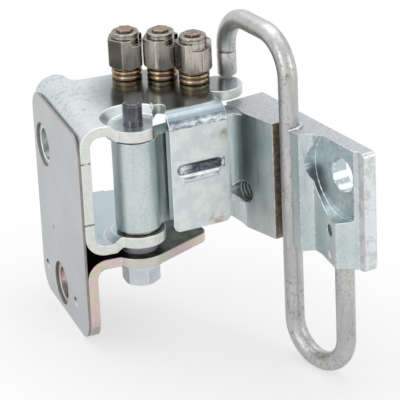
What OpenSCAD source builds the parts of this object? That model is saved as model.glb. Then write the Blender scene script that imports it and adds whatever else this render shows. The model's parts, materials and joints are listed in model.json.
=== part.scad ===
// Car door hinge with a built-in door check.
// Pillar side: shim, folded yoke, lower bracket, fixed hinge pin and three detent posts.
// Door side: a drawn leaf that swings on the pin and carries a sprung bar past the posts.
// The origin is the centre of the upper pillar hole on the yoke's outer face, against the shim.
// +X points away from the pillar, +Y to the back, +Z up along the hinge pin.
// The leaf is drawn a few degrees before its open stop, which is the flap of the yoke.

/* [Pillar mounting] */
// Distance of the hinge pin from the yoke's outer face
pin_x = 23.1; // [22:0.1:27]
// Distance of the hinge pin in front of the upper pillar hole
pin_front = 42.4; // [38:0.1:46]
// Drop from the upper to the lower pillar hole
hole_drop = 54; // [50:0.5:58]
// Shift of the lower pillar hole to the front
hole_shift = 13.5; // [8:0.5:18]
// Diameter of the pillar bolt holes in the yoke and the lower bracket
pillar_hole_d = 12.5; // [10:0.5:14]

/* [Shim] */
// Thickness of the shim
shim_t = 1; // [0.6:0.1:1.6]
// Reach of the shim behind the upper pillar hole
shim_back = 11.6; // [10.5:0.1:14]
// Reach of the shim above the upper pillar hole
shim_up = 20.3; // [16:0.1:22]
// Reach of the shim below the lower pillar hole
shim_down = 10.8; // [10.5:0.1:14]
// Corner radius of the shim
shim_corner_r = 9; // [4:0.5:10]
// Diameter of the large shim holes
shim_hole_d = 17.4; // [14.5:0.1:18]
// Diameter of the weld dimples
dimple_d = 4.4; // [2:0.1:5]
// Depth of the weld dimples
dimple_depth = 0.45; // [0.2:0.05:0.5]
// Distance of the weld dimples from the edge of the lower hole
dimple_gap = 10; // [8:0.1:12]
// Diameter of the small nib mark
nib_d = 1.6; // [1:0.1:2.5]
// Distance of the nib mark behind the lower hole
nib_back = 6.5; // [4:0.1:9]
// Height of the nib mark above the lower hole
nib_up = 21.5; // [16:0.1:26]

/* [Yoke] */
// Thickness of the yoke and bracket sheet
sheet = 4; // [3:0.1:5]
// Outside radius of the folds
fold_r = 8; // [6:0.1:10]
// Reach of the sheet in front of the pin
yoke_front = 6; // [5:0.1:7]
// Reach of the web behind the upper pillar hole
web_back = 11; // [9.5:0.1:11.5]
// Width of the flange tab beside the web at the back
tab_w = 12; // [10:0.1:14]
// Distance of the flange's back edge behind the pin
flange_back = 44; // [42:0.1:46]
// Depth to which the upper eye is pressed inward
joggle = 3.1; // [2:0.1:4]
// Depth to which the lower eye is pressed inward
low_joggle = 2.3; // [1.5:0.1:4]
// Radius of the eyes round the pin
eye_r = 10.2; // [9:0.1:11]
// Slant of the pressed eye's wall, measured in plan
eye_wall = 2.8; // [2:0.1:4]
// Radius of the notch beside the upper eye
notch_r = 2.5; // [1.5:0.1:3]
// Radius of the ear at the end of the upper flange
ear_r = 8.4; // [7.5:0.1:9]

/* [Stop flap] */
// Angle of the flap, which is the leaf's angle at its open stop
flap_angle = 6; // [3:0.5:10]
// Distance from the pin to the near edge of the flap
flap_near = 11.1; // [10.5:0.1:13]
// Width of the flap
flap_w = 24.3; // [20:0.1:25]
// Drop of the flap's lower edge below the barrel's lower end
flap_drop = 2.4; // [1:0.1:3]
// Outside radius of the fold above the flap
flap_fold_r = 7; // [5:0.1:8]
// Corner radius of the flap
flap_corner_r = 3; // [1:0.1:5]
// Length of the coined dent on the flap
dent_len = 21; // [14:0.5:22]
// Depth of the coined dent
dent_depth = 1.1; // [0.4:0.1:1.6]
// Drop of the dent below the upper flange
dent_drop = 23; // [16:0.5:30]
// Distance from the dent down to the lip of pushed-up metal
dent_lip_drop = 4.2; // [3.6:0.1:6]
// Length by which that lip is shorter than the dent
dent_lip_short = 6; // [2:0.5:10]

/* [Lower bracket] */
// Radius of the bracket's lobe round the bolt
lobe_r = 11.2; // [10.5:0.1:13]
// Distance from the pin to the centre of the bracket's right end
bracket_reach = 23.5; // [20:0.5:28]
// Radius of the bracket's right end
bracket_end_r = 5; // [4:0.1:7]
// Reach of the leg behind the lower pillar hole
leg_back = 23; // [16:0.5:25]

/* [Hinge pin] */
// Diameter of the pin in the barrel
pin_d = 11; // [10:0.1:12]
// Diameter of the pin's upper end
pin_end_d = 7.5; // [6:0.1:8.5]
// Height of the pin's upper end above the eye
pin_end_h = 8.6; // [6:0.1:12]
// Diameter of the pin's shoulder
shoulder_d = 14; // [12.5:0.1:15]
// Height of the pin's shoulder
shoulder_h = 4.2; // [3.6:0.1:6]
// Thread diameter of the pin bolt
bolt_d = 8; // [6:0.1:8.5]
// Length of thread that the pin bolt has in the pin
bolt_grip = 12; // [8:0.5:16]
// Width across flats of the bolt head
bolt_af = 13; // [11:0.5:14]
// Height of the bolt head's hexagon
bolt_head_h = 6.3; // [4:0.1:7]
// Thickness of the bolt head's flange
bolt_flange_t = 1.7; // [1:0.1:2.5]
// Diameter of the bolt head's flange
bolt_flange_d = 16.4; // [15:0.1:17]
// Diameter of the washer
washer_d = 18; // [16.5:0.1:19]
// Thickness of the washer
washer_t = 1.8; // [0.8:0.1:2.5]

/* [Barrel and bushes] */
// Length of the barrel with the bush flanges
barrel_len = 38.4; // [34:0.1:42]
// Outside diameter of the barrel
barrel_d = 17.3; // [16.5:0.1:18.5]
// Height of the barrel's upper end above the upper pillar hole
barrel_top = 16.3; // [14:0.1:18]
// Wall of the bushes
bush_t = 1; // [0.8:0.1:1.3]
// Thickness of the bush flanges
bush_flange_t = 0.8; // [0.5:0.1:1.2]
// Length of each bush
bush_len = 14; // [8:0.5:16]

/* [Door leaf] */
// Angle at which the leaf is drawn
leaf_angle = 13; // [11:0.5:18]
// Distance from the pin to the door mounting face
face_p = 61; // [58:0.1:64]
// Length of the leaf along the mounting face
leaf_len = 74.6; // [72:0.1:80]
// Height of the leaf
leaf_h = 48.2; // [44:0.1:50]
// Rise of the leaf's top above the arm
leaf_rise = 1.2; // [0.5:0.1:2]
// Radius of the corners at the leaf's far end
leaf_corner_r = 2; // [1:0.1:4]
// Thickness of the arm
arm_t = 8; // [6:0.1:8.5]
// Thickness of the block beside the arm
block_t = 17.6; // [16:0.1:18]
// Radius round the pin that is milled clear below the arm
clear_r = 44.2; // [43:0.1:46]
// Fillet between arm and block
block_fillet = 6; // [4:0.1:7]
// Distance along the leaf to the near side of the bar's groove
groove_d = 29.2; // [27:0.1:30]
// Thickness of the block at the near side of the groove
groove_front = 15.2; // [14:0.1:17]
// Width of the lip beyond the bar
lip_w = 7.5; // [6:0.1:9]
// Thickness of the lip beyond the bar
lip_t = 13.6; // [12.5:0.1:14.5]
// Thickness in the channel beyond the lip
channel_t = 8.8; // [7:0.1:10]
// Distance along the leaf to the start of the socket block
ridge_along = 50.5; // [49:0.1:52]
// Thickness at the peak of the socket block
socket_t = 12.2; // [11.5:0.1:13]
// Thickness of the leaf's far end
end_t = 5.4; // [4:0.1:6]
// Thickness left under the spot face
spot_t = 6.6; // [5.5:0.1:7]
// Diameter of the spot face
spot_d = 35; // [28:0.5:36]
// Diameter of the door bolt hole
door_hole_d = 13.3; // [10:0.1:14]
// Distance along the leaf to the door bolt hole
door_hole_along = 62.5; // [60:0.1:64]
// Drop of the door bolt hole below the leaf's top
door_hole_down = 12; // [10:0.1:14]
// Diameter of the locking-pin hole in the socket block
pin_hole_d = 4.6; // [3:0.1:5]
// Distance of the locking-pin hole below the spot face
pin_hole_gap = 5; // [4:0.1:6]
// Diameter of the stake mark below the locking-pin hole
stake_d = 3.6; // [2.5:0.1:4]
// Height of the stake mark above the leaf's bottom
stake_up = 3.6; // [3:0.1:5]
// Depth of the stake mark
stake_depth = 1; // [0.5:0.1:1.5]
// Core diameter of the tapped door hole
tapped_d = 8.5; // [6.8:0.1:9]
// Distance along the leaf to the tapped door hole
tapped_along = 12.6; // [11:0.1:14]
// Drop of the tapped door hole below the leaf's top
tapped_down = 33; // [24:0.5:34]

/* [Torsion bar] */
// Diameter of the bar
bar_d = 7.5; // [6:0.1:7.8]
// Distance along the leaf to the bar in its groove
bar_along = 35.2; // [34:0.1:36]
// Distance of the bar in its groove from the mounting face
bar_off = 11.5; // [10:0.1:12.5]
// Distance along the leaf to the bar's socket
socket_along = 63; // [62:0.1:64]
// Distance of the bar's socket from the mounting face
socket_off = 6.9; // [6:0.1:7.2]
// Depth of the bar's socket
socket_depth = 10; // [6:0.5:11]
// Height of the bar's level run above the upper flange
bend_up = 27; // [24:0.5:32]
// Radius of the two upper bends
bend_r = 15; // [10:0.5:18]
// Drop of the lower bend's centre below the leaf
bend_down = 31.2; // [20:0.1:36]
// Angle of the bar's free end ahead of the arm
free_angle = 13.5; // [11:0.5:16]

/* [Detent posts] */
// Radius of the row of posts round the pin
post_row_r = 40.5; // [40:0.1:42]
// Angle of the middle post from the mounting normal
post_angle = 55; // [50:0.5:58]
// Gap between the flats of neighbouring sleeves
post_gap = 0.8; // [0.7:0.1:2]
// Width across flats of the sleeves
sleeve_af = 13; // [11:0.1:13.2]
// Diameter to which the sleeves' corners are turned down
sleeve_corner_d = 14.2; // [13.6:0.1:14.8]
// Height of the bevel at the lower end of the sleeves
sleeve_bevel = 0.9; // [0.4:0.1:1.5]
// Height of the sleeves
sleeve_h = 12; // [9:0.1:14]
// Height of the step at the top of each sleeve
step_h = 2.6; // [1:0.1:4]
// Diameter of the bronze base rings
ring_d = 12; // [11:0.1:12.8]
// Height of the bronze base
base_h = 4.7; // [3.6:0.1:6]
// Diameter of the collars
collar_d = 10.75; // [9.5:0.05:11.5]
// Height of the collars
collar_h = 2.3; // [1.5:0.1:3]
// Diameter of the studs
stud_d = 5; // [4:0.1:5.5]
// Width across flats of the stud heads
stud_af = 6; // [5.6:0.1:7]
// Height of the stud heads
stud_head_h = 1; // [0.6:0.1:2]

/* [Clearances] */
// Gap between parts that pass each other
run_gap = 0.3; // [0.25:0.05:0.4]
// Radial running clearance of the pin in its bushes
pin_fit = 0.03; // [0.02:0.01:0.08]
// Radial clearance of pieces that are pressed or bolted together
seat_fit = 0.02; // [0.01:0.01:0.05]

/* [Hidden] */
$fn = 64;

zinc = "#c3cdd0";
zinc_shim = "#aeb2b4";
chromate = "#d2c6c6";
dark_steel = "#5d5a68";
nickel = "#8d8377";
bronze = "#a88a62";
bar_steel = "#a9abac";

cut = 60;
// Overlap of a straight run or a fillet with the arc that it runs into
tuck = 0.05;
pin_y = -pin_front;

// Levels along Z, chained from the upper end of the barrel
eye_top_in = barrel_top + run_gap;
eye_floor = eye_top_in + sheet;
flange_in = eye_top_in + joggle;
flange_top = flange_in + sheet;
barrel_bottom = barrel_top - barrel_len;
eye_low_in = barrel_bottom - run_gap;
eye_low_out = eye_low_in - sheet;
low_flange_in = eye_low_in - low_joggle;
low_flange_out = low_flange_in - sheet;
bracket_top = eye_low_out - shoulder_h;
bracket_out = bracket_top - sheet;
mid_z = (barrel_top + barrel_bottom) / 2;
arm_top = barrel_top - bush_flange_t;
arm_h = barrel_len - 2 * bush_flange_t;
leaf_top = arm_top + leaf_rise;
leaf_bottom = leaf_top - leaf_h;
shim_bottom = -hole_drop - shim_down;

// Turn of each sleeve from the position with one corner pointing outward
sleeve_turn = [-9, 3, 3];
// Turn of the bolt head's hexagon
bolt_turn = 33;

// Marks on the shim, as places in Y and Z
nib = [nib_back - hole_shift, nib_up - hole_drop];
dimple_reach = shim_hole_d / 2 + dimple_gap;

// Plan places round the pin
web_x = -pin_x;
leg_back_y = pin_front - hole_shift + leg_back;
flat_r = eye_r + 0.4;
hump_r = 4;
socket_peak = 2;
dip_r = 5;
ear = [41, 16.4];
notch_end = [11.7, 4.2];
notch_turn = 251.5;
lip_end = bar_along + bar_d / 2 + lip_w;
web_back_y = pin_front + web_back;
bar_r = bar_d / 2;
bore_r = pin_d / 2 + pin_fit + bush_t + seat_fit;
free_r = post_row_r + sleeve_corner_d / 2 + bar_r + 1.5 * run_gap;
flap_in = -arm_t / 2 - run_gap;
flap_out = flap_in - sheet;
// Back edge of the flap's level strip, under the flange and the ear
strip_back = ear.y * cos(flap_angle) - ear.x * sin(flap_angle) - ear_r / 4;
block_p = face_p - block_t;
bar_groove = leaf_pt(bar_off, bar_along);
bar_socket = leaf_pt(socket_off, socket_along);
bar_free = free_r * [cos(free_angle), sin(free_angle)];
free_end_z = flange_top + 2 * run_gap;
pin_hole_down = door_hole_down + spot_d / 2 + pin_hole_gap;
pin_hole_along = socket_along - bar_r;
socket_slope = (socket_t - channel_t) / (socket_along + socket_peak - ridge_along);
stake_t = channel_t + socket_slope * (pin_hole_along - ridge_along);
post_base_z = flange_top;
sleeve_z = post_base_z + base_h;
collar_z = sleeve_z + sleeve_h;
stud_top_z = collar_z + collar_h;

// Point of the leaf's profile from its thickness and its distance along the mounting face
function leaf_pt(thick, along) = [face_p - thick, arm_t / 2 - along];

// Angle and place of a post round the pin
function post_turn(i) = post_angle + (2 - i) * 2 * asin((sleeve_af + post_gap) / (2 * post_row_r));
function post_place(i) = post_row_r * [cos(post_turn(i)), sin(post_turn(i))];

module at_pin() translate([pin_x, pin_y, 0]) children();

module leaf_frame() at_pin() rotate(leaf_angle) children();

// Upright plate of constant thickness whose outline is drawn in Y and Z
module upright(x, t) translate([x, 0, 0]) rotate([90, 0, 90]) linear_extrude(t) children();

// Rectangle with rounded corners from its lowest to its highest corner
module rounded_rect(low, high, r) {
    size = high - low;
    translate(low + [r, 0]) square([size.x - 2 * r, size.y]);
    translate(low + [0, r]) square([size.x, size.y - 2 * r]);
    for (x = [low.x + r, high.x - r], y = [low.y + r, high.y - r]) translate([x, y]) circle(r);
}

// Straight slot of constant width with round ends
module slot_2d(length, r) {
    circle(r);
    translate([0, -r]) square([length, 2 * r]);
}

// Pillar side

module shim_outline() {
    difference() {
        rounded_rect([pin_y - yoke_front, shim_bottom], [shim_back, shim_up], shim_corner_r);
        circle(d = shim_hole_d);
        translate([-hole_shift, -hole_drop]) circle(d = shim_hole_d);
    }
}

module mounting_shim() {
    color(zinc_shim) {
        difference() {
            upright(-shim_t, shim_t) shim_outline();
            for (side = [-1, 1])
                upright(-cut, cut - shim_t + dimple_depth)
                    translate([-hole_shift + side * dimple_reach, -hole_drop]) circle(d = dimple_d);
            upright(-cut, cut - shim_t + dimple_depth) translate(nib) circle(d = nib_d);
        }
    }
}

// Folded section of the yoke, drawn in X and Z with the pin at X zero
module yoke_section() {
    difference() {
        folded_edge(web_x, low_flange_out, flange_top, fold_r);
        folded_edge(web_x + sheet, low_flange_in, flange_in, fold_r - sheet);
    }
}

// Region to the right of a straight edge with both left corners rounded
module folded_edge(x, low, high, r) {
    translate([x + r, low]) square([2 * cut, high - low]);
    translate([x, low + r]) square([r, high - low - 2 * r]);
    for (z = [low + r, high - r]) translate([x + r, z]) circle(r);
}

// Part of the flange outlines that both flanges share: the strip along the web and the eye
module flange_root() {
    hump = [web_x + tab_w - hump_r, web_back_y - hump_r];
    circle(eye_r);
    translate([web_x, -yoke_front]) square([-web_x, yoke_front + flange_back]);
    translate([web_x, 0]) square([hump.x - web_x, web_back_y]);
    translate([web_x, 0]) square([tab_w, hump.y]);
    translate(hump) circle(hump_r);
    translate([web_x + tab_w, flange_back]) difference() {
        square(dip_r);
        translate([dip_r, dip_r]) circle(dip_r);
    }
}

module upper_flange_outline() {
    post_edge = ring_d / 2 + 0.7;
    rim_r = post_row_r + post_edge;
    ear_turn = atan2(ear.y, ear.x);
    flange_root();
    square([post_place(1).x, flange_back]);
    translate(post_place(1)) circle(post_edge);
    intersection() {
        circle(rim_r);
        polygon([
            [0, 0], 2 * rim_r * [cos(ear_turn), sin(ear_turn)], [2 * rim_r, 2 * rim_r],
            2 * rim_r * [cos(post_turn(1)), sin(post_turn(1))]
        ]);
    }
    translate(ear) circle(ear_r);
}

// Notch between the upper eye and the flap, open to the front
module notch() translate(notch_end) rotate(notch_turn) slot_2d(cut, notch_r);

module lower_flange_outline() {
    flange_root();
    intersection() {
        circle(clear_r - 4 * run_gap);
        polygon([
            [0, -eye_r / 2], [eye_r, 0],
            [post_place(1).x - ring_d / 2, flange_back], [web_x, flange_back]
        ]);
    }
}

// Pressed eye: a ring at the inner level with a slanting wall up to the flange
module pressed_eye(depth) {
    rotate_extrude() polygon([
        [0, 0], [flat_r, 0], [flat_r + eye_wall, depth], [flat_r + eye_wall + 1, depth],
        [flat_r + eye_wall + 1, depth + sheet], [flat_r + eye_wall - 1, depth + sheet],
        [flat_r - 1, sheet], [0, sheet]
    ]);
}

// One flange of the yoke from its outline, between two levels, with its pressed eye
module yoke_flange(low, high) {
    hole_r = flat_r + eye_wall;
    difference() {
        intersection() {
            rotate([90, 0, 0]) linear_extrude(4 * cut, center = true) yoke_section();
            translate([0, 0, low]) linear_extrude(high - low) children();
        }
        intersection() {
            translate([0, 0, low]) cylinder(r = hole_r, h = high - low);
            translate([web_x + fold_r, -cut, low]) cube([cut, 2 * cut, high - low]);
        }
    }
}

module flap_section() {
    difference() {
        folded_edge(flap_out, barrel_bottom - flap_drop - flap_fold_r, flange_top, flap_fold_r);
        folded_edge(flap_in, barrel_bottom - 2 * flap_drop - flap_fold_r, flange_in, flap_fold_r - sheet);
        translate([strip_back, -cut * 3]) square([3 * cut, 6 * cut]);
        translate([-cut, barrel_bottom - flap_drop - cut]) square([2 * cut, cut]);
    }
}

// Its level strip is set a hair higher than the flange that it joins, so that no two faces share a plane
module flap() {
    low = barrel_bottom - flap_drop;
    far = flap_near + flap_w;
    rotate(flap_angle) {
        difference() {
            translate([flap_near, 0, 0]) rotate([90, 0, 90]) linear_extrude(flap_w) flap_section();
            for (side = [0, 1])
                translate([side == 0 ? flap_near : far, 0, low]) mirror([side, 0, 0]) flap_corner();
            flap_dent();
        }
        flap_dent_lip();
    }
}

// Cutter that rounds one lower corner of the flap
module flap_corner() {
    rotate([90, 0, 0]) linear_extrude(2 * cut, center = true) difference() {
        translate([-1, -1]) square(flap_corner_r + 1);
        translate([flap_corner_r, flap_corner_r]) circle(flap_corner_r);
    }
}

// Coined groove across the flap
module flap_dent() {
    groove_r = 3.2;
    mid = flap_near + flap_w / 2;
    translate([mid, flap_out + dent_depth - groove_r, flange_top - dent_drop]) rotate([0, 90, 0]) {
        cylinder(r = groove_r, h = dent_len - 2 * groove_r, center = true);
        for (side = [-1, 1])
            translate([0, 0, side * (dent_len / 2 - groove_r)]) sphere(groove_r);
    }
}

// Metal pushed up below the coined groove
module flap_dent_lip() {
    lip_r = 1.6;
    proud = 0.6;
    mid = flap_near + flap_w / 2;
    translate([mid, flap_out + lip_r - proud, flange_top - dent_drop - dent_lip_drop]) rotate([0, 90, 0])
        cylinder(r = lip_r, h = dent_len - dent_lip_short, center = true);
}

module pillar_yoke() {
    color(zinc) difference() {
        at_pin() {
            yoke_flange(mid_z, flange_top) upper_flange_outline();
            yoke_flange(low_flange_out, mid_z) lower_flange_outline();
            intersection() {
                translate([0, 0, eye_top_in]) pressed_eye(joggle);
                translate([0, 0, eye_top_in]) linear_extrude(cut) upper_flange_outline();
            }
            intersection() {
                translate([0, 0, eye_low_in]) mirror([0, 0, 1]) pressed_eye(low_joggle);
                translate([0, 0, low_flange_out]) linear_extrude(cut) lower_flange_outline();
            }
            translate([0, 0, tuck / 5]) flap();
        }
        at_pin() translate([0, 0, eye_top_in - 1]) linear_extrude(cut) notch();
        upright(-cut, 2 * cut) circle(d = pillar_hole_d);
        at_pin() translate([0, 0, mid_z]) cylinder(d = pin_end_d + 2 * seat_fit, h = cut);
        at_pin() translate([0, 0, mid_z - cut]) cylinder(d = pin_d + 2 * seat_fit, h = cut);
        for (i = [1:3]) at_post(i) translate([0, 0, -cut]) cylinder(d = stud_d + 2 * seat_fit, h = 2 * cut);
        for (i = [1:3]) at_post(i) stud_tail(seat_fit);
    }
}

module bracket_outline() {
    end = bracket_reach * [cos(leaf_angle), sin(leaf_angle)];
    edge = atan2(end.y, end.x) - asin((lobe_r - bracket_end_r) / bracket_reach);
    normal = edge - 90 + 2 * asin((lobe_r - bracket_end_r) / bracket_reach);
    end_r = bracket_end_r - tuck;
    circle(lobe_r);
    translate(end) circle(bracket_end_r);
    polygon([
        [web_x, -yoke_front], [0, -yoke_front],
        (lobe_r - tuck) * [cos(normal), sin(normal)], end + end_r * [cos(normal), sin(normal)],
        end + end_r * [cos(leaf_angle), sin(leaf_angle)], end + end_r * [cos(60), sin(60)],
        [-lobe_r / 2, leg_back_y], [web_x, leg_back_y]
    ]);
}

module bracket_section() {
    difference() {
        folded_corner(web_x, bracket_top, fold_r);
        folded_corner(web_x + sheet, bracket_out, fold_r - sheet);
    }
}

// Region right of and below a rounded upper left corner
module folded_corner(x, high, r) {
    translate([x + r, high - 2 * cut]) square([2 * cut, 2 * cut]);
    translate([x, high - 2 * cut]) square([r, 2 * cut - r]);
    translate([x + r, high - r]) circle(r);
}

module lower_bracket() {
    color(chromate) difference() {
        intersection() {
            at_pin() rotate([90, 0, 0]) linear_extrude(4 * cut, center = true) bracket_section();
            at_pin() translate([0, 0, shim_bottom]) linear_extrude(2 * cut) bracket_outline();
            upright(-cut, 3 * cut)
                rounded_rect([-3 * cut, shim_bottom], [shim_back, cut], shim_corner_r);
            upright(-cut, 3 * cut) union() {
                rounded_rect([pin_y - yoke_front, shim_bottom], [leg_back - hole_shift, cut], shim_corner_r);
                translate([-3 * cut, bracket_out - sheet]) square(6 * cut);
            }
        }
        upright(-cut, 2 * cut) translate([-hole_shift, -hole_drop]) circle(d = pillar_hole_d);
        at_pin() translate([0, 0, -cut * 2]) cylinder(d = bolt_d + 2 * seat_fit, h = 4 * cut);
    }
}

module hinge_pin() {
    tip = 0.8;
    line = 0.25;
    line_z = eye_floor + 2;
    color(dark_steel) at_pin() difference() {
        union() {
            translate([0, 0, bracket_top]) cylinder(d = shoulder_d, h = shoulder_h);
            translate([0, 0, bracket_top]) cylinder(d = pin_d, h = eye_top_in - bracket_top);
            translate([0, 0, bracket_top])
                cylinder(d = pin_end_d, h = eye_floor + pin_end_h - tip - bracket_top);
            translate([0, 0, eye_floor + pin_end_h - tip])
                cylinder(d1 = pin_end_d, d2 = pin_end_d - 2 * tip, h = tip);
        }
        translate([0, 0, bracket_top - 1]) cylinder(d = bolt_d + 2 * seat_fit, h = bolt_grip + 2);
        translate([0, 0, line_z]) difference() {
            cylinder(d = pin_end_d + 1, h = line);
            cylinder(d = pin_end_d - 2 * line, h = line);
        }
    }
}

module pin_bolt() {
    flange_low = bracket_out - washer_t - bolt_flange_t;
    head_low = flange_low - bolt_head_h;
    corner_d = bolt_af / cos(30);
    chamfer_d = 0.94 * bolt_af;
    flange_rim = 0.6;
    color(zinc) at_pin() {
        translate([0, 0, flange_low]) cylinder(d = bolt_d, h = bracket_top + bolt_grip - flange_low);
        translate([0, 0, flange_low + bolt_flange_t - flange_rim])
            cylinder(d = bolt_flange_d, h = flange_rim);
        translate([0, 0, flange_low])
            cylinder(d1 = chamfer_d, d2 = bolt_flange_d, h = bolt_flange_t - flange_rim);
        translate([0, 0, head_low]) intersection() {
            rotate(bolt_turn) cylinder(d = corner_d, h = bolt_head_h + bolt_flange_t / 2, $fn = 6);
            cylinder(d1 = chamfer_d, d2 = chamfer_d + 8 * bolt_head_h, h = 2 * bolt_head_h);
        }
    }
}

module pin_washer() {
    color(zinc) at_pin() translate([0, 0, bracket_out - washer_t]) difference() {
        cylinder(d = washer_d, h = washer_t);
        translate([0, 0, -1]) cylinder(d = bolt_d + 2 * seat_fit, h = washer_t + 2);
    }
}

// Detent posts

module at_post(i) at_pin() rotate(post_turn(i)) translate([post_row_r, 0, 0]) children();

// Upset end of a stud in its countersink under the flange
module stud_tail(gap) {
    tail_h = 1.2;
    neck_d = stud_d + 2 * gap;
    translate([0, 0, flange_in]) cylinder(d1 = neck_d + 2 * tail_h, d2 = neck_d, h = tail_h);
}

module detent_stud(i) {
    color(bronze) at_post(i) {
        stud_tail(0);
        translate([0, 0, flange_in]) cylinder(d = stud_d, h = stud_top_z - flange_in);
        translate([0, 0, stud_top_z]) rotate(30) cylinder(d = stud_af / cos(30), h = stud_head_h, $fn = 6);
    }
}

module detent_bush(i) {
    neck_h = 0.7;
    line = 0.35;
    color(bronze) at_post(i) translate([0, 0, post_base_z]) difference() {
        union() {
            cylinder(d = ring_d, h = base_h - neck_h);
            cylinder(d = ring_d - 2, h = base_h);
        }
        translate([0, 0, -1]) cylinder(d = stud_d + 2 * seat_fit, h = base_h + 2);
        translate([0, 0, (base_h - neck_h) / 2]) difference() {
            cylinder(d = ring_d + 1, h = line);
            cylinder(d = ring_d - 2 * line, h = line);
        }
    }
}

module detent_sleeve(i) {
    color(nickel) at_post(i) rotate(sleeve_turn[i - 1]) translate([0, 0, sleeve_z]) difference() {
        intersection() {
            cylinder(d = sleeve_af / cos(30), h = sleeve_h, $fn = 6);
            rotate_extrude() sleeve_blank();
        }
        translate([0, 0, -1]) cylinder(d = stud_d + 2 * seat_fit, h = sleeve_h + 2);
        translate([0, 0, sleeve_h - step_h]) rotate(-150) difference() {
            cube([sleeve_af, sleeve_af, step_h + 1]);
            translate([0, 0, -1]) cylinder(d = collar_d, h = step_h + 3);
        }
    }
}

// Half section of the turned bar from which a sleeve's flats are milled
module sleeve_blank() {
    foot_r = sleeve_af / 2 - sleeve_bevel / 3;
    polygon([
        [0, -1], [foot_r - 1, -1], [foot_r, 0], [sleeve_corner_d / 2, sleeve_bevel],
        [sleeve_corner_d / 2, sleeve_h + 1], [0, sleeve_h + 1]
    ]);
}

module detent_collar(i) {
    rim = 0.4;
    color(zinc) at_post(i) translate([0, 0, collar_z]) difference() {
        union() {
            cylinder(d = collar_d, h = collar_h - rim);
            translate([0, 0, collar_h - rim]) cylinder(d1 = collar_d, d2 = collar_d - 2 * rim, h = rim);
        }
        translate([0, 0, -1]) cylinder(d = stud_d + 2 * seat_fit, h = collar_h + 2);
    }
}

// Door side

module leaf_outline() {
    difference() {
        polygon([
            leaf_pt(0, 0), leaf_pt(0, leaf_len), leaf_pt(end_t, leaf_len), leaf_pt(end_t, leaf_len - 4),
            leaf_pt(socket_t, socket_along + socket_peak), leaf_pt(channel_t, ridge_along),
            leaf_pt(channel_t, lip_end), leaf_pt(lip_t - 3, lip_end - 1),
            leaf_pt(lip_t, lip_end - 2.2), leaf_pt(lip_t, bar_along),
            leaf_pt(groove_front, groove_d), leaf_pt(block_t, arm_t + block_fillet),
            leaf_pt(block_t, 0)
        ]);
        translate(bar_groove) circle(bar_r + run_gap);
        polygon([
            leaf_pt(bar_off - bar_r - run_gap, groove_d), leaf_pt(bar_off - bar_r - run_gap, bar_along),
            leaf_pt(block_t + 1, bar_along), leaf_pt(block_t + 1, groove_d)
        ]);
    }
    translate([block_p, -arm_t / 2]) difference() {
        translate([-block_fillet, -block_fillet]) square(block_fillet + 0.5);
        translate([-block_fillet, -block_fillet]) circle(block_fillet);
        translate([0, -block_fillet - 1]) square(2 * block_fillet);
    }
}

// Arm and barrel with the fillets between them
module arm_outline() {
    blend_r = 4;
    blend_q = arm_t / 2 + blend_r;
    reach = barrel_d / 2 + blend_r - tuck;
    blend_p = sqrt(reach * reach - blend_q * blend_q);
    circle(d = barrel_d);
    translate([0, -arm_t / 2]) square([block_p + 1, arm_t]);
    for (side = [0, 1]) mirror([0, side]) difference() {
        polygon([[0, 0], [blend_p, 0], [blend_p, blend_q]]);
        translate([blend_p, blend_q]) circle(blend_r);
    }
}

module door_leaf() {
    color(zinc) leaf_frame() difference() {
        union() {
            translate([0, 0, arm_top - arm_h]) linear_extrude(arm_h) {
                arm_outline();
                leaf_outline();
            }
            translate([0, 0, leaf_bottom]) linear_extrude(leaf_h) difference() {
                leaf_outline();
                circle(clear_r);
            }
        }
        translate([0, 0, leaf_bottom]) cylinder(r = bore_r, h = leaf_h + 1);
        leaf_drill(tapped_along, tapped_down, tapped_d, -1);
        leaf_drill(door_hole_along, door_hole_down, door_hole_d, -1);
        leaf_drill(door_hole_along, door_hole_down, spot_d, spot_t);
        leaf_drill(pin_hole_along, pin_hole_down, pin_hole_d, socket_off);
        leaf_drill(pin_hole_along, leaf_h - stake_up, stake_d, stake_t - stake_depth);
        translate([0, arm_t / 2 - leaf_len, leaf_bottom]) leaf_corner();
        translate([0, arm_t / 2 - leaf_len, leaf_top]) mirror([0, 0, 1]) leaf_corner();
        translate([bar_socket.x, bar_socket.y, leaf_bottom - 1])
            cylinder(r = bar_r + seat_fit, h = socket_depth + 1);
    }
}

// Cutter that rounds one far corner of the leaf
module leaf_corner() {
    rotate([90, 0, 90]) linear_extrude(2 * cut) difference() {
        translate([-1, -1]) square(leaf_corner_r + 1);
        translate([leaf_corner_r, leaf_corner_r]) circle(leaf_corner_r);
    }
}

// Cutter square to the mounting face, from a given thickness out to the front
module leaf_drill(along, down, d, from)
    translate([face_p - from, arm_t / 2 - along, leaf_top - down]) rotate([0, -90, 0])
        cylinder(d = d, h = cut / 2);

module bush(low, flange_low) {
    inner_r = pin_d / 2 + pin_fit;
    outer_r = inner_r + bush_t;
    difference() {
        union() {
            translate([0, 0, low]) cylinder(r = outer_r, h = bush_len);
            translate([0, 0, flange_low]) cylinder(d = barrel_d - 1, h = bush_flange_t);
        }
        translate([0, 0, low - cut]) cylinder(r = inner_r, h = 3 * cut);
    }
}

module upper_bush() {
    color(bronze) leaf_frame() bush(barrel_top - bush_len, barrel_top - bush_flange_t);
}

module lower_bush() {
    color(bronze) leaf_frame() bush(barrel_bottom, barrel_bottom);
}

// Half-round bend of the bar below two places, with a standing leg at each end
module bar_hook(from, to, level, from_len, to_len) {
    middle = (from + to) / 2;
    span = to - from;
    half = norm(span) / 2;
    translate([middle.x, middle.y, level]) rotate(atan2(span.y, span.x)) {
        rotate([-90, 0, 0]) rotate_extrude(angle = 180) translate([half, 0]) circle(bar_r);
        translate([-half, 0, 0]) cylinder(r = bar_r, h = from_len);
        translate([half, 0, 0]) cylinder(r = bar_r, h = to_len);
    }
}

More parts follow.
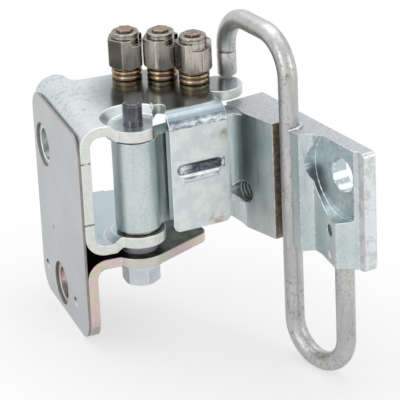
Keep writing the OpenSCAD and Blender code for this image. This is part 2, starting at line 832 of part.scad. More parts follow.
// Two quarter bends of the bar with a level run between them and a standing leg at each end
module bar_arch(from, to, level, from_leg, to_leg) {
    tip = 0.6;
    span = to - from;
    wide = norm(span);
    translate([from.x, from.y, level]) rotate(atan2(span.y, span.x)) {
        translate([0, 0, -from_leg]) cylinder(r = bar_r, h = from_leg);
        translate([bend_r, 0, 0]) rotate([90, 0, 0]) rotate(90) quarter_bend();
        translate([bend_r, 0, bend_r]) rotate([0, 90, 0]) cylinder(r = bar_r, h = wide - 2 * bend_r);
        translate([wide - bend_r, 0, 0]) rotate([90, 0, 0]) quarter_bend();
        translate([wide, 0, tip - to_leg]) cylinder(r = bar_r, h = to_leg - tip);
        translate([wide, 0, -to_leg]) cylinder(r1 = bar_r - tip, r2 = bar_r, h = tip);
    }
}

module quarter_bend() rotate_extrude(angle = 90) translate([bend_r, 0]) circle(bar_r);

// The ring marks where the bar was gripped between its two bending steps
module torsion_bar() {
    ring_h = 3;
    upper = flange_top + bend_up - bend_r;
    lower = leaf_bottom - bend_down;
    half_run = (upper - lower) / 2 - ring_h / 4;
    color(bar_steel) leaf_frame() {
        bar_arch(bar_groove, bar_free, upper, half_run, upper - free_end_z);
        bar_hook(bar_groove, bar_socket, lower, half_run, leaf_bottom + socket_depth - run_gap - lower);
        translate([bar_groove.x, bar_groove.y, (upper + lower - ring_h) / 2])
            cylinder(r = bar_r + seat_fit, h = ring_h);
    }
}

mounting_shim();
pillar_yoke();
lower_bracket();
hinge_pin();
pin_bolt();
pin_washer();
door_leaf();
upper_bush();
lower_bush();
torsion_bar();
for (i = [1:3]) {
    detent_stud(i);
    detent_bush(i);
    detent_sleeve(i);
    detent_collar(i);
}
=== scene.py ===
"""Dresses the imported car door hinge: plated sheet, drawn leaf, sprung bar and detent posts."""

import json
import math

import bmesh
import bpy
from bpy.props import FloatProperty, FloatVectorProperty, IntProperty, PointerProperty
from mathutils import Matrix, Vector


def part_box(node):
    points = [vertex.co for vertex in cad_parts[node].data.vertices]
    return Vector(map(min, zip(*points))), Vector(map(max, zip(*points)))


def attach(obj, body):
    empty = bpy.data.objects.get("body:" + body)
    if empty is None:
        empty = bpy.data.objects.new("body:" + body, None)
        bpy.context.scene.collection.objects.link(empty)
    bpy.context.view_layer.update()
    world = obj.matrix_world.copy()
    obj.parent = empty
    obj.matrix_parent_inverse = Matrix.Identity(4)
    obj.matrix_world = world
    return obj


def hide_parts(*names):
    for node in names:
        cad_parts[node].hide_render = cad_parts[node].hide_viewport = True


bl_info = {
    "name": "Car door hinge",
    "version": (1, 0, 0),
    "blender": (4, 5, 0),
    "location": "View3D > Sidebar > Hinge",
    "description": "Rounded edges, plating and studio for a car door hinge with a built-in door check",
    "category": "Object",
}

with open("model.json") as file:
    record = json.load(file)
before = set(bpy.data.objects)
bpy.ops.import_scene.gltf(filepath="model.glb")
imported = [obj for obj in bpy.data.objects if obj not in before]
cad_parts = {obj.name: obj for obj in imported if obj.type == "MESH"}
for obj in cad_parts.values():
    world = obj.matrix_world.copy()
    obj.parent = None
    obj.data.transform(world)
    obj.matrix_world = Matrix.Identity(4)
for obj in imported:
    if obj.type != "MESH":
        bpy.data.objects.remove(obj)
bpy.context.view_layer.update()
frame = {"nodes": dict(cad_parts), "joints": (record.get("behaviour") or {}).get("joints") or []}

MM = 0.001

# Directions of the leaf, out to its mounting face and to its side, and of the yoke's flap
PIN = Vector(frame["joints"][0]["pos_m"])
LEAF_TURN = math.radians(13)
LEAF_OUT = Vector((math.cos(LEAF_TURN), math.sin(LEAF_TURN), 0))
LEAF_SIDE = Vector((-math.sin(LEAF_TURN), math.cos(LEAF_TURN), 0))
FLAP_TURN = math.radians(6)
FLAP_ALONG = Vector((math.cos(FLAP_TURN), math.sin(FLAP_TURN), 0))
FLAP_SIDE = Vector((-math.sin(FLAP_TURN), math.cos(FLAP_TURN), 0))

# Leaf's reach from the pin in mm: out to the mounting face, and to the side of the arm
FACE_REACH = 61
HALF_ARM = 4

LEAF_LOW, LEAF_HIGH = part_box("door_leaf")
YOKE_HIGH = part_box("pillar_yoke")[1]
BAR_LOW, BAR_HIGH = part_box("torsion_bar")
SHIM_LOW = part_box("mounting_shim")[0]
POST_LOW, POST_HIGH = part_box("detent_bush_2")
COLLAR_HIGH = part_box("detent_collar_1")[1]

# Limits for copying a solid: points that merge, slivers that go, faces that join, edges that are rounded
# and edges that stay smooth
WELD = 0.03 * MM
SLIVER = WELD / 20
FLAT = math.radians(0.5)
SHARP = math.radians(32)
SMOOTH = math.radians(42)

# Part of a normal along z from which a face counts as level
UPWARD = 0.9


def leaf_point(thick, along, height=0.0):
    """Place on the leaf, in metres, from its thickness and distance along the mounting face in mm."""
    across = LEAF_OUT * (FACE_REACH - thick) + LEAF_SIDE * (HALF_ARM - along)
    return Vector((PIN.x, PIN.y, height)) + across * MM


def leaf_place(point):
    """Thickness and distance along the mounting face, in mm, of a point in metres."""
    from_pin = (Vector(point) - PIN) / MM
    return FACE_REACH - from_pin.dot(LEAF_OUT), HALF_ARM - from_pin.dot(LEAF_SIDE)


def flap_place(point):
    """Distances along and across the yoke's flap, in mm from the pin, of a point in metres."""
    from_pin = point - PIN
    return from_pin.dot(FLAP_ALONG) / MM, from_pin.dot(FLAP_SIDE) / MM


# Leaf: spot face and its hole, tapped hole, and the two places that hold the bar
DOOR_HOLE = leaf_point(6.6, 62.5, 4.7 * MM)
SPOT_R = 17.5 * MM
TAPPED_HOLE = leaf_point(0, 12.6, -16.3 * MM)
THREAD_DEPTH = 16.4 * MM
THREAD_INSET = 0.6 * MM
CORE_R = 4.3 * MM
RIDGE_R = 0.5 * MM
BAR_GROOVE = leaf_point(11.5, 35.2)
BAR_SOCKET = leaf_point(6.9, 63)
SOCKET_END = LEAF_LOW.z + 9.7 * MM

# Bar's free leg, which clears the sleeves' corners on the row of posts
ROW_R, CORNER_R, BAR_R, CLEARANCE = 40.5, 7.1, 3.75, 0.45
FREE_ANGLE = math.radians(13.5) + LEAF_TURN
FREE_REACH = (ROW_R + CORNER_R + BAR_R + CLEARANCE) * MM
BAR_FREE = Vector((
    PIN.x + FREE_REACH * math.cos(FREE_ANGLE), PIN.y + FREE_REACH * math.sin(FREE_ANGLE), 0))
FREE_END = YOKE_HIGH.z + 0.6 * MM
FREE_LINE = YOKE_HIGH.z + 10.5 * MM

# Yoke: start of the flap in mm along it, the flap's dent with its half sizes, marks on the web's edge and
# the height below which a level face is on the lower flange
FLAP_START = 10
DENT_MID = PIN + FLAP_ALONG * 23.25 * MM - FLAP_SIDE * 8.3 * MM + Vector((0, 0, 0.7 * MM))
DENT_LONG, DENT_HIGH = 10.2 * MM, 1.95 * MM
WEB_EDGE = 4 * MM
WEB_MARKS = (10 * MM, -15 * MM)
LOW_FLANGE = -15 * MM

# Shim: the two dimples beside its lower hole
DIMPLE_Y = (-32.2 * MM, 5.2 * MM)
DIMPLE_Z = -54 * MM
DIMPLE_R = 2.4 * MM

# Pin: top of its shoulder above the lower bracket
SHOULDER = -20 * MM

# Posts: how far the painted light and shade on each sleeve's flats is turned, in degrees
FACET_LIGHT_TURNS = (10, 215, 265)


# Node trees


class Level:
    """One socket of a node tree; arithmetic on it adds Math nodes."""

    def __init__(self, work, socket):
        self.work = work
        self.socket = socket

    def math(self, operation, other, turned=False):
        first, second = (other, self) if turned else (self, other)
        return self.work.node("ShaderNodeMath", {"operation": operation}, {0: first, 1: second})

    def __add__(self, other):
        return self.math("ADD", other)

    def __radd__(self, other):
        return self.math("ADD", other, True)

    def __sub__(self, other):
        return self.math("SUBTRACT", other)

    def __rsub__(self, other):
        return self.math("SUBTRACT", other, True)

    def __mul__(self, other):
        return self.math("MULTIPLY", other)

    def __rmul__(self, other):
        return self.math("MULTIPLY", other, True)

    def __gt__(self, other):
        return self.math("GREATER_THAN", other)

    def __lt__(self, other):
        return self.math("LESS_THAN", other)

    def up_to(self, other):
        return self.math("MINIMUM", other)

    def at_least(self, other):
        return self.math("MAXIMUM", other)

    def wave(self):
        return self.math("SINE", 0.0)


class NodeWork:
    """A node tree while it is being built."""

    def __init__(self, tree):
        self.tree = tree
        tree.nodes.clear()

    def node(self, kind, settings=None, sockets=None, output=0):
        made = self.tree.nodes.new(kind)
        for key, value in (settings or {}).items():
            if key == "stops":
                self.set_stops(made.color_ramp, value)
            else:
                setattr(made, key, value)
        for key, value in (sockets or {}).items():
            if isinstance(value, Level):
                self.tree.links.new(value.socket, made.inputs[key])
            else:
                made.inputs[key].default_value = value
        return Level(self, made.outputs[output]) if made.outputs else made

    @staticmethod
    def set_stops(ramp, stops):
        while len(ramp.elements) < len(stops):
            ramp.elements.new(1.0)
        for element, (place, colour) in zip(ramp.elements, stops):
            element.position = place
            element.color = (*colour, 1.0)


class Finish(NodeWork):
    """One procedural material."""

    def __init__(self, name):
        self.material = bpy.data.materials.new(name)
        self.material.use_nodes = True
        super().__init__(self.material.node_tree)
        self.place = self.node("ShaderNodeTexCoord", output=3)

    def axis(self, index):
        return self.node("ShaderNodeSeparateXYZ", sockets={0: self.place}, output=index)

    def tag(self, name):
        return self.node("ShaderNodeAttribute", {"attribute_name": name}, output=2)

    def noise(self, scale, detail=3.0, stretch=(1, 1, 1), turn=(0, 0, 0), rough=0.55):
        where = self.node(
            "ShaderNodeMapping", {"vector_type": "TEXTURE"},
            {"Vector": self.place, "Rotation": turn, "Scale": stretch})
        return self.node(
            "ShaderNodeTexNoise", sockets={
                "Vector": where, "Scale": scale, "Detail": detail, "Roughness": rough})

    def band(self, level, low, high):
        return self.node(
            "ShaderNodeMapRange", {"interpolation_type": "SMOOTHSTEP"},
            {"Value": level, "From Min": low, "From Max": high})

    def near(self, point, reach, soft=0.6):
        away = self.node(
            "ShaderNodeVectorMath", {"operation": "DISTANCE"},
            {0: self.place, 1: tuple(point)}, output=1)
        return 1 - self.band(away, reach * (1 - soft), reach)

    def off_axis(self, point, along):
        """Distance from the line through a point along a direction."""
        from_point = self.node(
            "ShaderNodeVectorMath", {"operation": "SUBTRACT"}, {0: self.place, 1: tuple(point)})
        across = self.node(
            "ShaderNodeVectorMath", {"operation": "CROSS_PRODUCT"}, {0: from_point, 1: tuple(along)})
        return self.node("ShaderNodeVectorMath", {"operation": "LENGTH"}, {0: across}, output=1)

    def reach(self, point, along):
        """Distance from a point, measured along a direction."""
        from_point = self.node(
            "ShaderNodeVectorMath", {"operation": "SUBTRACT"}, {0: self.place, 1: tuple(point)})
        return self.node(
            "ShaderNodeVectorMath", {"operation": "DOT_PRODUCT"},
            {0: from_point, 1: tuple(along)}, output=1)

    def within(self, level, half, soft):
        """One where a level lies within half of zero, on either side."""
        return 1 - self.band(level.math("ABSOLUTE", 0.0), half - soft, half + soft)

    def mix(self, share, first, second, way="MIX"):
        colours = [c if isinstance(c, Level) else (*c, 1.0) for c in (first, second)]
        return self.node(
            "ShaderNodeMix", {"data_type": "RGBA", "blend_type": way},
            {0: share, 6: colours[0], 7: colours[1]}, output=2)

    def hues(self, level, stops):
        return self.node("ShaderNodeValToRGB", {"stops": stops}, {0: level})

    def bump(self, height, depth, strength=1.0):
        return self.node(
            "ShaderNodeBump", sockets={"Height": height, "Distance": depth, "Strength": strength})

    def metal(self, colour, roughness, relief, metallic=1.0):
        shader = self.node(
            "ShaderNodeBsdfPrincipled", sockets={
                "Base Color": colour, "Metallic": metallic, "Roughness": roughness, "Normal": relief})
        self.node("ShaderNodeOutputMaterial", sockets={"Surface": shader})
        return self.material


class Shape(NodeWork):
    """A Geometry Nodes tree with named inputs for its sizes."""

    def __init__(self, name, sizes):
        super().__init__(bpy.data.node_groups.new(name, "GeometryNodeTree"))
        face = self.tree.interface
        face.new_socket("Geometry", in_out="INPUT", socket_type="NodeSocketGeometry")
        for label, kind in sizes:
            face.new_socket(label, in_out="INPUT", socket_type=kind)
        face.new_socket("Material", in_out="INPUT", socket_type="NodeSocketMaterial")
        face.new_socket("Geometry", in_out="OUTPUT", socket_type="NodeSocketGeometry")
        entry = self.tree.nodes.new("NodeGroupInput")
        self.given = {s.name: Level(self, s) for s in entry.outputs if s.name}
        self.label = {
            item.name: item.identifier for item in face.items_tree
            if item.item_type == "SOCKET" and item.in_out == "INPUT"}

    def close(self, made):
        smooth = self.node("GeometryNodeSetShadeSmooth", sockets={"Geometry": made})
        real = self.node("GeometryNodeRealizeInstances", sockets={"Geometry": smooth})
        coated = self.node(
            "GeometryNodeSetMaterial", sockets={"Geometry": real, "Material": self.given["Material"]})
        self.node("NodeGroupOutput", sockets={"Geometry": coated})

    def make(self, name, base, values):
        """Runs the tree on a base mesh and returns an object with the plain result."""
        piece = bpy.data.objects.new(name, base)
        bpy.context.scene.collection.objects.link(piece)
        step = piece.modifiers.new(self.tree.name, "NODES")
        step.node_group = self.tree
        for label, value in values.items():
            step[self.label[label]] = value
        return settle(piece)


def settle(piece):
    """Turns an object with modifiers into one with a plain mesh."""
    bpy.context.view_layer.update()
    depsgraph = bpy.context.evaluated_depsgraph_get()
    result = bpy.data.meshes.new_from_object(
        piece.evaluated_get(depsgraph), preserve_all_data_layers=True, depsgraph=depsgraph)
    piece.modifiers.clear()
    piece.data = result
    result.name = piece.name
    return piece


def round_bar_shape():
    """Sweeps a round section along a path; the path's own radius attribute scales it."""
    shape = Shape("round_bar", [("Radius", "NodeSocketFloat"), ("Sides", "NodeSocketInt")])
    path = shape.node("GeometryNodeMeshToCurve", sockets={"Mesh": shape.given["Geometry"]})
    girth = shape.node("GeometryNodeInputNamedAttribute", {"data_type": "FLOAT"}, {"Name": "girth"})
    path = shape.node("GeometryNodeSetCurveRadius", sockets={"Curve": path, "Radius": girth})
    section = shape.node(
        "GeometryNodeCurvePrimitiveCircle", {"mode": "RADIUS"},
        {"Resolution": shape.given["Sides"], "Radius": shape.given["Radius"]})
    swept = shape.node("GeometryNodeCurveToMesh", sockets={
        "Curve": path, "Profile Curve": section, "Fill Caps": True, **curve_scale(girth)})
    shape.close(swept)
    return shape


def curve_scale(girth):
    """Sockets that scale a sweep where the node has its own input for it."""
    trial = bpy.data.node_groups.new("trial", "GeometryNodeTree")
    names = [s.name for s in trial.nodes.new("GeometryNodeCurveToMesh").inputs]
    bpy.data.node_groups.remove(trial)
    return {"Scale": girth} if "Scale" in names else {}


def thread_shape():
    """Winds a three-sided ridge round the inside of a hole."""
    shape = Shape("thread", [
        ("Hole radius", "NodeSocketFloat"), ("Pitch", "NodeSocketFloat"),
        ("Turns", "NodeSocketFloat"), ("Ridge", "NodeSocketFloat"), ("Place", "NodeSocketVector")])
    height = shape.given["Pitch"] * shape.given["Turns"]
    coil = shape.node("GeometryNodeCurveSpiral", sockets={
        "Resolution": 48, "Rotations": shape.given["Turns"], "Start Radius": shape.given["Hole radius"],
        "End Radius": shape.given["Hole radius"], "Height": height})
    ridge = shape.node(
        "GeometryNodeCurvePrimitiveCircle", {"mode": "RADIUS"},
        {"Resolution": 6, "Radius": shape.given["Ridge"]})
    swept = shape.node("GeometryNodeCurveToMesh", sockets={
        "Curve": coil, "Profile Curve": ridge, "Fill Caps": True})
    placed = shape.node("GeometryNodeTransform", sockets={
        "Geometry": swept, "Translation": shape.given["Place"],
        "Rotation": (0.0, math.radians(-90), LEAF_TURN)})
    shape.close(placed)
    return shape


def path_mesh(name, points, girths):
    """Open run of points joined by edges, with a girth at each."""
    mesh = bpy.data.meshes.new(name)
    mesh.from_pydata([tuple(p) for p in points], [(i, i + 1) for i in range(len(points) - 1)], [])
    girth = mesh.attributes.new("girth", "FLOAT", "POINT")
    girth.data.foreach_set("value", girths)
    return mesh


# Meshes


def rounded_copy(node, name, width, steps=3, cuts=()):
    """Copies a CAD node with its edges rounded, and marks the rounded faces as worn.

    Cuts are planes, each a point and a normal, that split flat faces which have a hole in them.
    """
    work = bmesh.new()
    work.from_mesh(frame["nodes"][node].data)
    bmesh.ops.remove_doubles(work, verts=work.verts, dist=WELD)
    bmesh.ops.dissolve_limit(work, angle_limit=FLAT, verts=work.verts, edges=work.edges)
    for point, normal in cuts:
        bmesh.ops.bisect_plane(
            work, geom=work.verts[:] + work.edges[:] + work.faces[:], plane_co=point, plane_no=normal,
            dist=WELD)
    worn = work.faces.layers.float.new("worn")
    sharp = [e for e in work.edges if len(e.link_faces) == 2 and e.calc_face_angle() > SHARP]
    made = bmesh.ops.bevel(
        work, geom=sharp, offset=width, offset_type="OFFSET", segments=steps, profile=0.5,
        affect="EDGES", clamp_overlap=False, loop_slide=True, material=-1)
    for face in made["faces"]:
        face[worn] = 1.0
    bmesh.ops.dissolve_degenerate(work, edges=work.edges, dist=SLIVER)
    bmesh.ops.triangulate(work, faces=[f for f in work.faces if len(f.verts) > 4])
    for face in work.faces:
        face.smooth = True
    mesh = bpy.data.meshes.new(name)
    work.to_mesh(mesh)
    work.free()
    mesh.set_sharp_from_angle(angle=SMOOTH)
    piece = bpy.data.objects.new(name, mesh)
    bpy.context.scene.collection.objects.link(piece)
    weighted = piece.modifiers.new("weighted", "WEIGHTED_NORMAL")
    weighted.keep_sharp = True
    return settle(piece)


def lathe(name, outline, centre, sides=72):
    """Turned solid round an upright axis from a closed outline of radius and height in mm."""
    work = bmesh.new()
    rings = []
    for radius, height in outline:
        rings.append([
            work.verts.new((
                centre.x + radius * MM * math.cos(2 * math.pi * k / sides),
                centre.y + radius * MM * math.sin(2 * math.pi * k / sides),
                centre.z + height * MM)) for k in range(sides)])
    for low, high in zip(rings, rings[1:] + rings[:1]):
        for k in range(sides):
            after = (k + 1) % sides
            work.faces.new((low[k], low[after], high[after], high[k]))
    bmesh.ops.recalc_face_normals(work, faces=work.faces)
    for face in work.faces:
        face.smooth = True
    mesh = bpy.data.meshes.new(name)
    work.to_mesh(mesh)
    work.free()
    mesh.set_sharp_from_angle(angle=SMOOTH)
    piece = bpy.data.objects.new(name, mesh)
    bpy.context.scene.collection.objects.link(piece)
    return piece


def tag_faces(piece, name, test):
    """Keeps a number on every face, from a test of the face's centre and normal."""
    mesh = piece.data
    layer = mesh.attributes.new(name, "FLOAT", "FACE")
    layer.data.foreach_set("value", [float(test(p.center, p.normal)) for p in mesh.polygons])


def put_on(piece, material, body, slot, *nodes):
    """Gives a finished piece its material and its body, and hides the CAD nodes that it stands for."""
    piece.data.materials.clear()
    piece.data.materials.append(material)
    if nodes:
        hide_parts(*nodes)
    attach(piece, body)


# Finishes


def yoke_finish(tones):
    """Clouded zinc with a pale flap, painted dark reflections on the fold and in the dent, darker dots
    below the fold, sheared edges and a polished patch by the posts with their painted dark reflection.
    """
    f = Finish("zinc_plate")
    # Sheet with its smudges, specks and stains
    cloud = f.noise(55, 4)
    grain = f.noise(900, 3, stretch=(1, 0.3, 1))
    smudge = f.band(f.noise(120, 5, rough=0.7), 0.52, 0.68)
    speck = f.band(f.noise(1500, 2), 0.67, 0.73) * f.band(f.noise(90, 3), 0.42, 0.6)
    top_left = f.near((-0.004, -0.012, YOKE_HIGH.z), 0.045)
    stain = f.band(f.noise(420, 5, rough=0.75), 0.5, 0.66) * top_left
    foot = DENT_MID + FLAP_ALONG * 6 * MM + Vector((0, 0, -22.5 * MM))
    corner = DENT_MID + FLAP_ALONG * 11 * MM + Vector((0, 0, 11 * MM))
    rust = f.band(f.noise(260, 2), 0.36, 0.7) * (
        f.near(foot, 0.0045).at_least(f.near(corner, 0.0035)))
    plain = f.mix(f.band(cloud, 0.35, 0.65), tones.zinc_cool, tones.zinc_warm)
    plain = f.mix(smudge * 0.22, plain, (0.36, 0.38, 0.38))
    plain = f.mix(stain * 0.6, plain, (0.33, 0.27, 0.21))
    plain = f.mix(speck * 0.75, plain, (0.2, 0.165, 0.13))
    plain = f.mix(f.tag("low") * 0.75, plain, (0.4, 0.485, 0.55))
    # Flap with its scuffs, painted dark reflection on the upper fold, darker dots on the lower fold, and
    # painted dark reflection in the dent
    flap = f.tag("flap")
    pale = f.mix(f.band(f.noise(180, 4), 0.4, 0.62), (0.7, 0.745, 0.735), (0.6, 0.66, 0.655))
    plain = f.mix(flap, plain, pale)
    scuff = f.band(f.noise(600, 4, stretch=(2.5, 1, 1), rough=0.7), 0.62, 0.7)
    plain = f.mix(flap * scuff * 0.55, plain, (0.34, 0.35, 0.34))
    plain = f.mix(rust * 0.75, plain, (0.36, 0.21, 0.09))
    # Painted dark reflection on the upper part of the flap's fold, from the fold tag
    fold_reflection_colour = f.mix(f.noise(260, 3), (0.2, 0.26, 0.31), (0.4, 0.47, 0.51))
    plain = f.mix(f.tag("fold") * 0.85, plain, fold_reflection_colour)
    # Dark-blue dots along the lower part of the flap's fold
    die = f.tag("die")
    dot_noise = f.noise(900, 4, stretch=(2, 2, 1)) + 0.3 * (f.noise(140, 2) - 0.5)
    plain = f.mix(die * f.band(dot_noise, 0.3, 0.7) * 0.85, plain, (0.1, 0.115, 0.17))
    dent = f.within(f.reach(DENT_MID, FLAP_ALONG), DENT_LONG, 0.4 * MM) * f.within(
        f.reach(DENT_MID, (0, 0, 1)), DENT_HIGH, 0.2 * MM) * f.tag("front")
    # Painted dark reflection on the dent's front, darkest on the half towards the flap's end
    painted_dark = dent * f.band(
        f.reach(DENT_MID, FLAP_ALONG) + 4 * MM * f.noise(300, 3), -4.5 * MM, 0.0)
    uneven = 0.8 + 0.2 * f.band(f.noise(700, 3), 0.3, 0.65)
    plain = f.mix(painted_dark * uneven, plain, (0.05, 0.053, 0.07))
    # Sheared edges and the two marks on the web
    edge = f.tag("cut")
    sheared = f.mix(f.band(f.noise(520, 5, rough=0.7), 0.4, 0.7), tones.cut_edge, (0.64, 0.65, 0.61))
    sheared = f.mix(f.band(f.noise(1100, 3), 0.62, 0.7) * 0.35, sheared, (0.27, 0.26, 0.22))
    plain = f.mix(edge * (0.65 + 0.35 * f.noise(260, 4)), plain, sheared)
    plain = f.mix(f.tag("worn") * 0.6, plain, (0.8, 0.82, 0.81))
    wander = f.axis(2) + 0.8 * MM * (f.noise(500, 2) - 0.5)
    upper, lower = (f.within(wander - z, 0.3 * MM, 0.25 * MM) for z in WEB_MARKS)
    mark = edge * (f.axis(0) < WEB_EDGE) * upper.at_least(lower)
    colour = f.mix(mark * f.band(f.noise(900, 4), 0.36, 0.5) * 0.9, plain, (0.07, 0.07, 0.07))
    # Polished patch under the posts, darkened there by a painted dark reflection of the posts
    by_posts = (POST_LOW + POST_HIGH) / 2 + Vector((-0.004, -0.013, 0))
    polish_and_painted_reflection = f.near(by_posts, 0.034, 0.45) * f.tag("top")
    bright = polish_and_painted_reflection.at_least(dent)
    rough = (0.22 + 0.16 * cloud + 0.1 * smudge + 0.08 * stain + 0.12 * edge) * (1 - 0.42 * bright)
    height = 0.6 * grain + 0.8 * f.noise(140, 3) - 0.5 * speck + 0.8 * edge * f.noise(700, 3)
    # Painted dark reflection of the posts on the polished flange
    colour = f.mix(polish_and_painted_reflection * 0.85, colour, (0.19, 0.21, 0.215))
    return f.metal(colour, rough, f.bump(height * (1 - 0.6 * polish_and_painted_reflection), 0.00006, 0.5))


def shim_finish(tones):
    """Dull rolled zinc with brown cut edges and two pressed dimples, each with painted shade above and a
    painted highlight below.
    """
    f = Finish("shim_zinc")
    cloud = f.noise(45, 4)
    lines = f.noise(700, 4, stretch=(1, 0.08, 1))
    speck = f.band(f.noise(1800, 2), 0.68, 0.73)
    colour = f.mix(f.band(cloud, 0.3, 0.7), tones.shim, (0.51, 0.525, 0.535))
    colour = f.mix(f.band(lines, 0.4, 0.7) * 0.16, colour, (0.36, 0.36, 0.36))
    colour = f.mix(speck * 0.45, colour, (0.22, 0.21, 0.19))
    edge = f.tag("cut")
    colour = f.mix(edge * (0.5 + 0.5 * f.noise(320, 3)), colour, (0.21, 0.185, 0.155))
    colour = f.mix(f.tag("worn") * 0.25, colour, (0.5, 0.47, 0.42))
    pressed = f.axis(0) > -0.9 * MM
    for y in DIMPLE_Y:
        dimple = f.near((-0.55 * MM, y, DIMPLE_Z), DIMPLE_R, 0.15) * pressed
        # Painted shade on the upper half of each dimple and painted highlight on the lower half
        painted_dimple_light = f.band(
            f.axis(2) + 0.6 * MM * f.noise(500, 2), DIMPLE_Z - 0.5 * MM, DIMPLE_Z + 0.8 * MM)
        colour = f.mix(dimple * 0.9, colour, f.mix(painted_dimple_light, (0.78, 0.8, 0.82), (0.1, 0.1, 0.1)))
    rough = 0.4 + 0.12 * cloud + 0.06 * lines
    relief = f.bump(lines + 0.5 * f.noise(1200, 2), 0.00004, 0.5)
    return f.metal(colour, rough, relief)


def bracket_finish(tones):
    """Chromate that shifts from green to pink on its edges, with painted shade in dark olive on its upper
    side.
    """
    f = Finish("chromate")
    cloud = f.noise(120, 3, rough=0.6)
    sheen = f.hues(cloud + 0.12 * (f.noise(420, 3) - 0.5), [
        (0.3, (0.4, 0.5, 0.36)), (0.42, (0.62, 0.6, 0.42)), (0.5, (0.72, 0.5, 0.5)),
        (0.58, (0.68, 0.45, 0.55)), (0.68, (0.5, 0.56, 0.46))])
    edge = f.tag("cut")
    by_bolt = f.near((PIN.x, PIN.y - 0.008, -0.035), 0.016)
    sheen = f.mix(by_bolt * 0.75, sheen, (0.55, 0.6, 0.5))
    flat = f.mix(f.noise(80, 3), (0.36, 0.4, 0.36), (0.52, 0.44, 0.45))
    colour = f.mix(edge, flat, f.mix(0.22, sheen, tones.chromate))
    scuff = f.band(f.noise(520, 5, rough=0.7), 0.56, 0.68)
    colour = f.mix(scuff * 0.4, colour, (0.74, 0.72, 0.68))
    # Painted shade in dark olive on upward faces, where the yoke shades the bracket
    shade = f.tag("upper")
    painted_shade_olive = f.mix(f.band(f.noise(210, 4), 0.4, 0.65), (0.012, 0.018, 0.013), (0.045, 0.06, 0.045))
    colour = f.mix(shade, colour, painted_shade_olive)
    colour = f.mix(f.tag("worn") * 0.35, colour, (0.78, 0.72, 0.66))
    rough = 0.26 + 0.18 * cloud + 0.08 * scuff
    relief = f.bump(f.noise(800, 3) + 0.6 * f.noise(150, 3), 0.00006, 0.5)
    return f.metal(colour, rough, relief)


def pin_finish(tones):
    """Dark ground steel, streaked along the pin, with a paler shoulder."""
    f = Finish("dark_pin")
    cloud = f.noise(160, 3)
    ground = f.noise(1400, 3, stretch=(1, 1, 0.06))
    streak = f.band(f.noise(520, 3, stretch=(1, 1, 16)), 0.5, 0.66)
    speck = f.band(f.noise(1300, 3), 0.62, 0.72)
    colour = f.mix(f.band(cloud, 0.35, 0.65), tones.pin, (0.125, 0.124, 0.142))
    colour = f.mix(streak * 0.45, colour, (0.3, 0.3, 0.335))
    colour = f.mix(speck * 0.5, colour, (0.04, 0.036, 0.042))
    colour = f.mix(f.tag("worn") * 0.5, colour, (0.34, 0.33, 0.36))
    shoulder = f.axis(2) < SHOULDER
    colour = f.mix(shoulder, colour, f.mix(cloud, (0.3, 0.28, 0.34), (0.44, 0.42, 0.48)))
    relief = f.bump(ground, 0.00003, 0.4)
    return f.metal(colour, 0.15 + 0.12 * cloud + 0.2 * shoulder, relief, 1 - 0.7 * shoulder)


def bolt_finish(tones):
    """Clear zinc with a pink cast in places."""
    f = Finish("bolt_zinc")
    cloud = f.noise(190, 4)
    colour = f.mix(f.band(cloud, 0.35, 0.65), tones.bolt, (0.55, 0.6, 0.64))
    pink = f.band(f.noise(150, 2), 0.55, 0.65)
    colour = f.mix(pink * 0.25, colour, (0.62, 0.5, 0.5))
    colour = f.mix(f.band(f.noise(1500, 3), 0.64, 0.72) * 0.5, colour, (0.22, 0.2, 0.19))
    colour = f.mix(f.tag("worn") * 0.6, colour, (0.84, 0.86, 0.86))
    relief = f.bump(f.noise(900, 3), 0.00004, 0.5)
    return f.metal(colour, 0.2 + 0.16 * cloud, relief)


def bronze_finish(tones):
    """Turned bronze, dull brown in cloudy patches."""
    f = Finish("bronze")
    cloud = f.noise(330, 4)
    lines = f.noise(2600, 3, stretch=(1, 1, 0.1))
    colour = f.mix(f.band(cloud, 0.35, 0.65), tones.bronze, (0.22, 0.155, 0.1))
    colour = f.mix(f.tag("worn") * 0.3, colour, (0.68, 0.54, 0.38))
    return f.metal(colour, 0.16 + 0.14 * cloud, f.bump(lines, 0.00004, 0.5))


